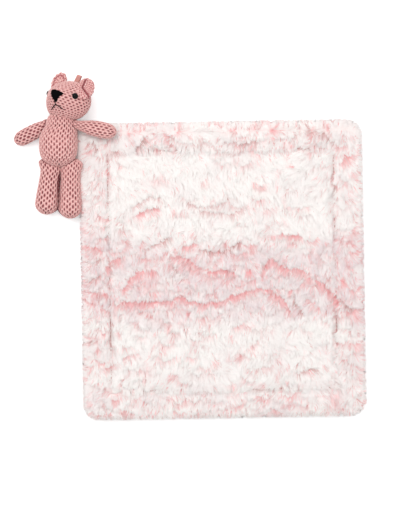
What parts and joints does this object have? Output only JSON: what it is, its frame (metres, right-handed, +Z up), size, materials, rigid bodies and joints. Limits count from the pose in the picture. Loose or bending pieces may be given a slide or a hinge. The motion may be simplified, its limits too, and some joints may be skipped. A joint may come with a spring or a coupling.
{
  "type": "comfort blanket toy",
  "caption": "Knitted teddy bear that holds the corner of a square plush fur blanket, with sewn limbs that swing, a head that turns and a blanket that swings on its corner tack.",
  "frame": {"origin": "middle of the whole toy's box seen from above, on the surface that it lies on", "axes": "+Z up out of the bear's chest, +Y towards the bear's head, +X to the bear's left, where the blanket lies"},
  "size_m": [0.4596, 0.4517, 0.0608],
  "materials": {
    "knit_cotton": "chunky open knit",
    "knit_light": "fine knit",
    "filling_fibre": "loose polyester fibre",
    "fur_front": "long pile",
    "fur_back": "long pile",
    "coral_satin": "satin",
    "black_felt": "matte felt",
    "black_thread": "twisted",
    "pink_thread": "twisted",
    "black_plastic": "gloss",
    "washer_plastic": "matte"
  },
  "bodies": {
    "torso": {"torso_cover": "knit_cotton", "torso_filling": "filling_fibre"},
    "head": {"head_cover": "knit_cotton", "head_filling": "filling_fibre", "right_ear_back": "knit_light", "right_ear_front": "knit_light", "left_ear_back": "knit_light", "left_ear_front": "knit_light", "right_eye": "black_plastic", "left_eye": "black_plastic", "right_eye_washer": "washer_plastic", "left_eye_washer": "washer_plastic", "nose": "black_felt", "mouth_stitch": "black_thread", "ribbon_tab": "coral_satin"},
    "right_arm": {"right_arm_cover": "knit_cotton", "right_arm_filling": "filling_fibre"},
    "left_arm": {"left_arm_cover": "knit_cotton", "left_arm_filling": "filling_fibre"},
    "right_leg": {"right_leg_cover": "knit_cotton", "right_leg_filling": "filling_fibre"},
    "left_leg": {"left_leg_cover": "knit_cotton", "left_leg_filling": "filling_fibre"},
    "blanket": {"blanket_front_panel": "fur_front", "blanket_back_panel": "fur_back", "edge_seam_thread": "pink_thread", "topstitch_thread": "pink_thread", "corner_tack": "pink_thread"}
  },
  "joints": [
    {"name": "head_turn", "type": "hinge", "parent": "torso", "child": "head", "pos_m": [-0.16521, 0.15645, 0.0225], "axis": [0.2879, 0.9512, 0.1106], "range_deg": [-20, 60]},
    {"name": "right_arm_swing", "type": "hinge", "parent": "torso", "child": "right_arm", "pos_m": [-0.18481, 0.15695, 0.0145], "axis": [0, 0, 1], "range_deg": [-50, 0]},
    {"name": "left_arm_swing", "type": "hinge", "parent": "torso", "child": "left_arm", "pos_m": [-0.14831, 0.15795, 0.02962], "axis": [0, 0, 1], "range_deg": [0, 15]},
    {"name": "right_leg_lift", "type": "hinge", "parent": "torso", "child": "right_leg", "pos_m": [-0.17921, 0.10115, 0.019], "axis": [-1, 0, 0], "range_deg": [0, 40]},
    {"name": "left_leg_lift", "type": "hinge", "parent": "torso", "child": "left_leg", "pos_m": [-0.15271, 0.10115, 0.019], "axis": [-1, 0, 0], "range_deg": [0, 40]},
    {"name": "blanket_swing", "type": "hinge", "parent": "left_arm", "child": "blanket", "pos_m": [-0.10402, 0.14894, 0], "axis": [0, 0, 1], "range_deg": [0, 60]}
  ]
}
